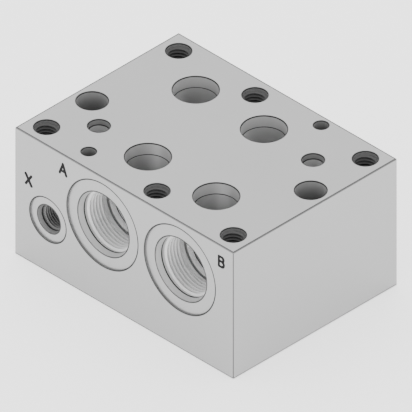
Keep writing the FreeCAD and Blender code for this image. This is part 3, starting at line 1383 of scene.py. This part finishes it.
    def face_marks(self, block: Block, gaps: Exprs, at: Exprs) -> Expr:
        """Mill marks of the six faces, each in its own plane.

        Args:
            block: the block's places.
            gaps: distance in from each pair of faces.
            at: X, Y and Z of the shaded point.

        Returns:
            Relief about nought.
        """
        x, y, z = at
        level = z - block.half[2]
        on_end, on_side, on_level = (gap.below(self.skin) for gap in gaps)
        sides = on_side * self.side_mill.arcs(x, level) + on_end * self.side_mill.arcs(y, level)
        return on_level * self.top_mill.arcs(x, y) + sides


@dataclass(frozen=True)
class CutThread:
    """Finish of the thread ridges: tapped flanks with fine scoring.

    Attributes:
        name: name of the finish.
        tone: brightness of the flanks, which paints the light and shade of the hole they lie in.
        metallic: how metallic they are.
        roughness: their roughness.
        grain_scale: waves in one metre of the scoring.
        grain_tone: how much that changes brightness.
        grain_roughness: how much it changes roughness.
        relief: height of the scoring.
    """

    name: str
    tone: float
    metallic: float = 0.55
    roughness: float = 0.50
    grain_scale: float = 1400.0
    grain_tone: float = 0.10
    grain_roughness: float = 0.12
    relief: float = 0.006 * MM

    def build(self) -> bpy.types.Material:
        """Make the finish of the threads.

        Returns:
            The material.
        """
        shader = Shader(self.name)
        grain = shader.noise(self.grain_scale, 2.0)
        return shader.finish(
            Base_Color=shader.grey(self.tone * ((grain - 0.5) * self.grain_tone + 1.0)),
            Metallic=self.metallic,
            Roughness=self.roughness + (grain - 0.5) * self.grain_roughness,
            Normal=shader.bump(grain, self.relief),
        )


# Three copies of one finish that differ only in painted light and shade: light on the flanks of the wide
# ports, shade in the narrow pilot ports and bolt holes.
PORT_THREAD_PAINTED_LIGHT = CutThread("tapped_port_painted_light", tone=0.65)
PILOT_THREAD_PAINTED_SHADE = CutThread("tapped_pilot_port_painted_shade", tone=0.15)
BOLT_THREAD_PAINTED_SHADE = CutThread("tapped_bolt_hole_painted_shade", tone=0.08)


@dataclass(frozen=True)
class MarkFill:
    """Dark paint in the port letters.

    Attributes:
        paint: its colour.
        worn: its colour where it is worn.
        roughness: its roughness.
        gloss: how strongly it mirrors.
        grain_scale: waves in one metre of the wear.
        grain_roughness: how much that changes roughness.
        relief: height of the paint's grain.
    """

    paint: Triple = (0.004, 0.004, 0.005)
    worn: Triple = (0.009, 0.009, 0.009)
    roughness: float = 0.60
    gloss: float = 0.1
    grain_scale: float = 2200.0
    grain_roughness: float = 0.2
    relief: float = 0.01 * MM

    def build(self) -> bpy.types.Material:
        """Make the finish of the letters.

        Returns:
            The material.
        """
        shader = Shader("mark_fill")
        grain = shader.noise(self.grain_scale, 3.0)
        return shader.finish(
            Base_Color=shader.blend(grain, self.paint, self.worn),
            Metallic=0.0,
            Specular_IOR_Level=self.gloss,
            Roughness=self.roughness + (grain - 0.5) * self.grain_roughness,
            Normal=shader.bump(grain, self.relief),
        )


@dataclass(frozen=True)
class PaleFloor:
    """Finish of the studio floor, lit a little from below as a light table is.

    Attributes:
        tone: its colour.
        roughness: its roughness.
        light: colour of its own light.
        glow: strength of that light.
    """

    tone: Triple = (0.92, 0.92, 0.92)
    roughness: float = 0.9
    light: Triple = (1.0, 1.0, 1.0)
    glow: float = 1.25

    def build(self) -> bpy.types.Material:
        """Make the floor's finish."""
        return Shader("pale_floor").finish(
            Base_Color=self.tone,
            Roughness=self.roughness,
            Emission_Color=self.light,
            Emission_Strength=self.glow,
        )


# Studio


@dataclass(frozen=True)
class Lamp:
    """Soft round lamp.

    Attributes:
        name: its name.
        place: its place.
        size: its diameter.
        power: its power.
    """

    name: str
    place: Triple
    size: float
    power: float

    def build(self, target: Vector) -> None:
        """Make the lamp.

        Args:
            target: what it faces.
        """
        data = bpy.data.lights.new(self.name, "AREA")
        data.shape = "DISK"
        data.size = self.size
        data.energy = self.power
        lamp = link_object(self.name, data)
        lamp.location = self.place
        lamp.rotation_euler = (Vector(self.place) - target).to_track_quat("Z", "Y").to_euler()


@dataclass(frozen=True)
class Studio:
    """Floor, soft light and camera.

    The camera looks along a space diagonal, so all three edges of the block are equally
    foreshortened, and it has no perspective.

    Attributes:
        block: the block's places.
        view_width: width of the picture, in metres.
        azimuth: direction of the camera about Z, in degrees from the front.
        elevation: height of the camera, in degrees.
        stand_off: distance of the camera.
        sky: strength of the even light from all round.
        floor_half: half the floor's side.
        floor_gap: how far the floor lies under the block, so that the two faces don't coincide.
        lamps: the soft lamps.
    """

    block: Block
    view_width: float = 203.08 * MM
    azimuth: float = 45.0
    elevation: float = math.degrees(math.atan(math.sqrt(0.5)))
    stand_off: float = 1.2
    sky: float = 1.55
    floor_half: float = 4.0
    floor_gap: float = 0.02 * MM
    lamps: tuple[Lamp, ...] = (
        Lamp("lamp_left", (-1.1, -1.3, 1.5), 1.6, 5.0),
        Lamp("lamp_right", (1.5, -0.3, 1.2), 1.6, 4.0),
        Lamp("lamp_back", (-1.2, 1.2, 1.25), 2.2, 13.5),
    )

    def target(self) -> Vector:
        """Middle of the block."""
        return Vector((0.0, 0.0, self.block.half[2]))

    def build(self) -> None:
        """Make the studio."""
        self.make_camera()
        self.make_light()
        self.make_floor()

    def make_camera(self) -> None:
        """Set up the camera on the view's diagonal."""
        turn, rise = math.radians(self.azimuth), math.radians(self.elevation)
        reach = math.cos(rise)
        back = Vector((math.sin(turn) * reach, -math.cos(turn) * reach, math.sin(rise)))
        data = bpy.data.cameras.new("camera")
        data.type = "ORTHO"
        data.ortho_scale = self.view_width
        camera = link_object("camera", data)
        camera.location = self.target() + back * self.stand_off
        camera.rotation_euler = back.to_track_quat("Z", "Y").to_euler()
        bpy.context.scene.camera = camera

    def make_light(self) -> None:
        """Set up an even white surround and large soft lamps."""
        world = bpy.data.worlds.new("surround")
        world.use_nodes = True
        background = world.node_tree.nodes["Background"]
        background.inputs["Color"].default_value = (1.0, 1.0, 1.0, 1.0)
        background.inputs["Strength"].default_value = self.sky
        bpy.context.scene.world = world
        for lamp in self.lamps:
            lamp.build(self.target())

    def make_floor(self) -> None:
        """Lay a level floor under the block."""
        side = self.floor_half
        corners = np.array(((-side, -side), (side, -side), (side, side), (-side, side)))
        corners = np.column_stack((corners, np.full(4, -self.floor_gap)))
        mesh = bpy.data.meshes.new("floor")
        mesh.from_pydata(corners.tolist(), [], [(0, 1, 2, 3)])
        mesh.materials.append(PaleFloor().build())
        floor = link_object("floor", mesh)


def dress_block(block: Block) -> None:
    """Give the block's node its finish.

    Args:
        block: the block's places.
    """
    material = MilledAluminium().build(block)
    item = frame["nodes"][NODE]
    for slot in item.material_slots:
        slot.material = material
    log.info("%s: %d slots dressed", NODE, len(item.material_slots))


def main() -> None:
    """Build the studio, dress the block, and add its threads and marks."""
    logging.basicConfig(level=logging.INFO, format="%(name)s: %(message)s")
    block = Block()
    Studio(block).build()
    dress_block(block)
    ThreadSet(block).build()
    MarkSet(block).build()


if __name__ == "__main__":
    main()
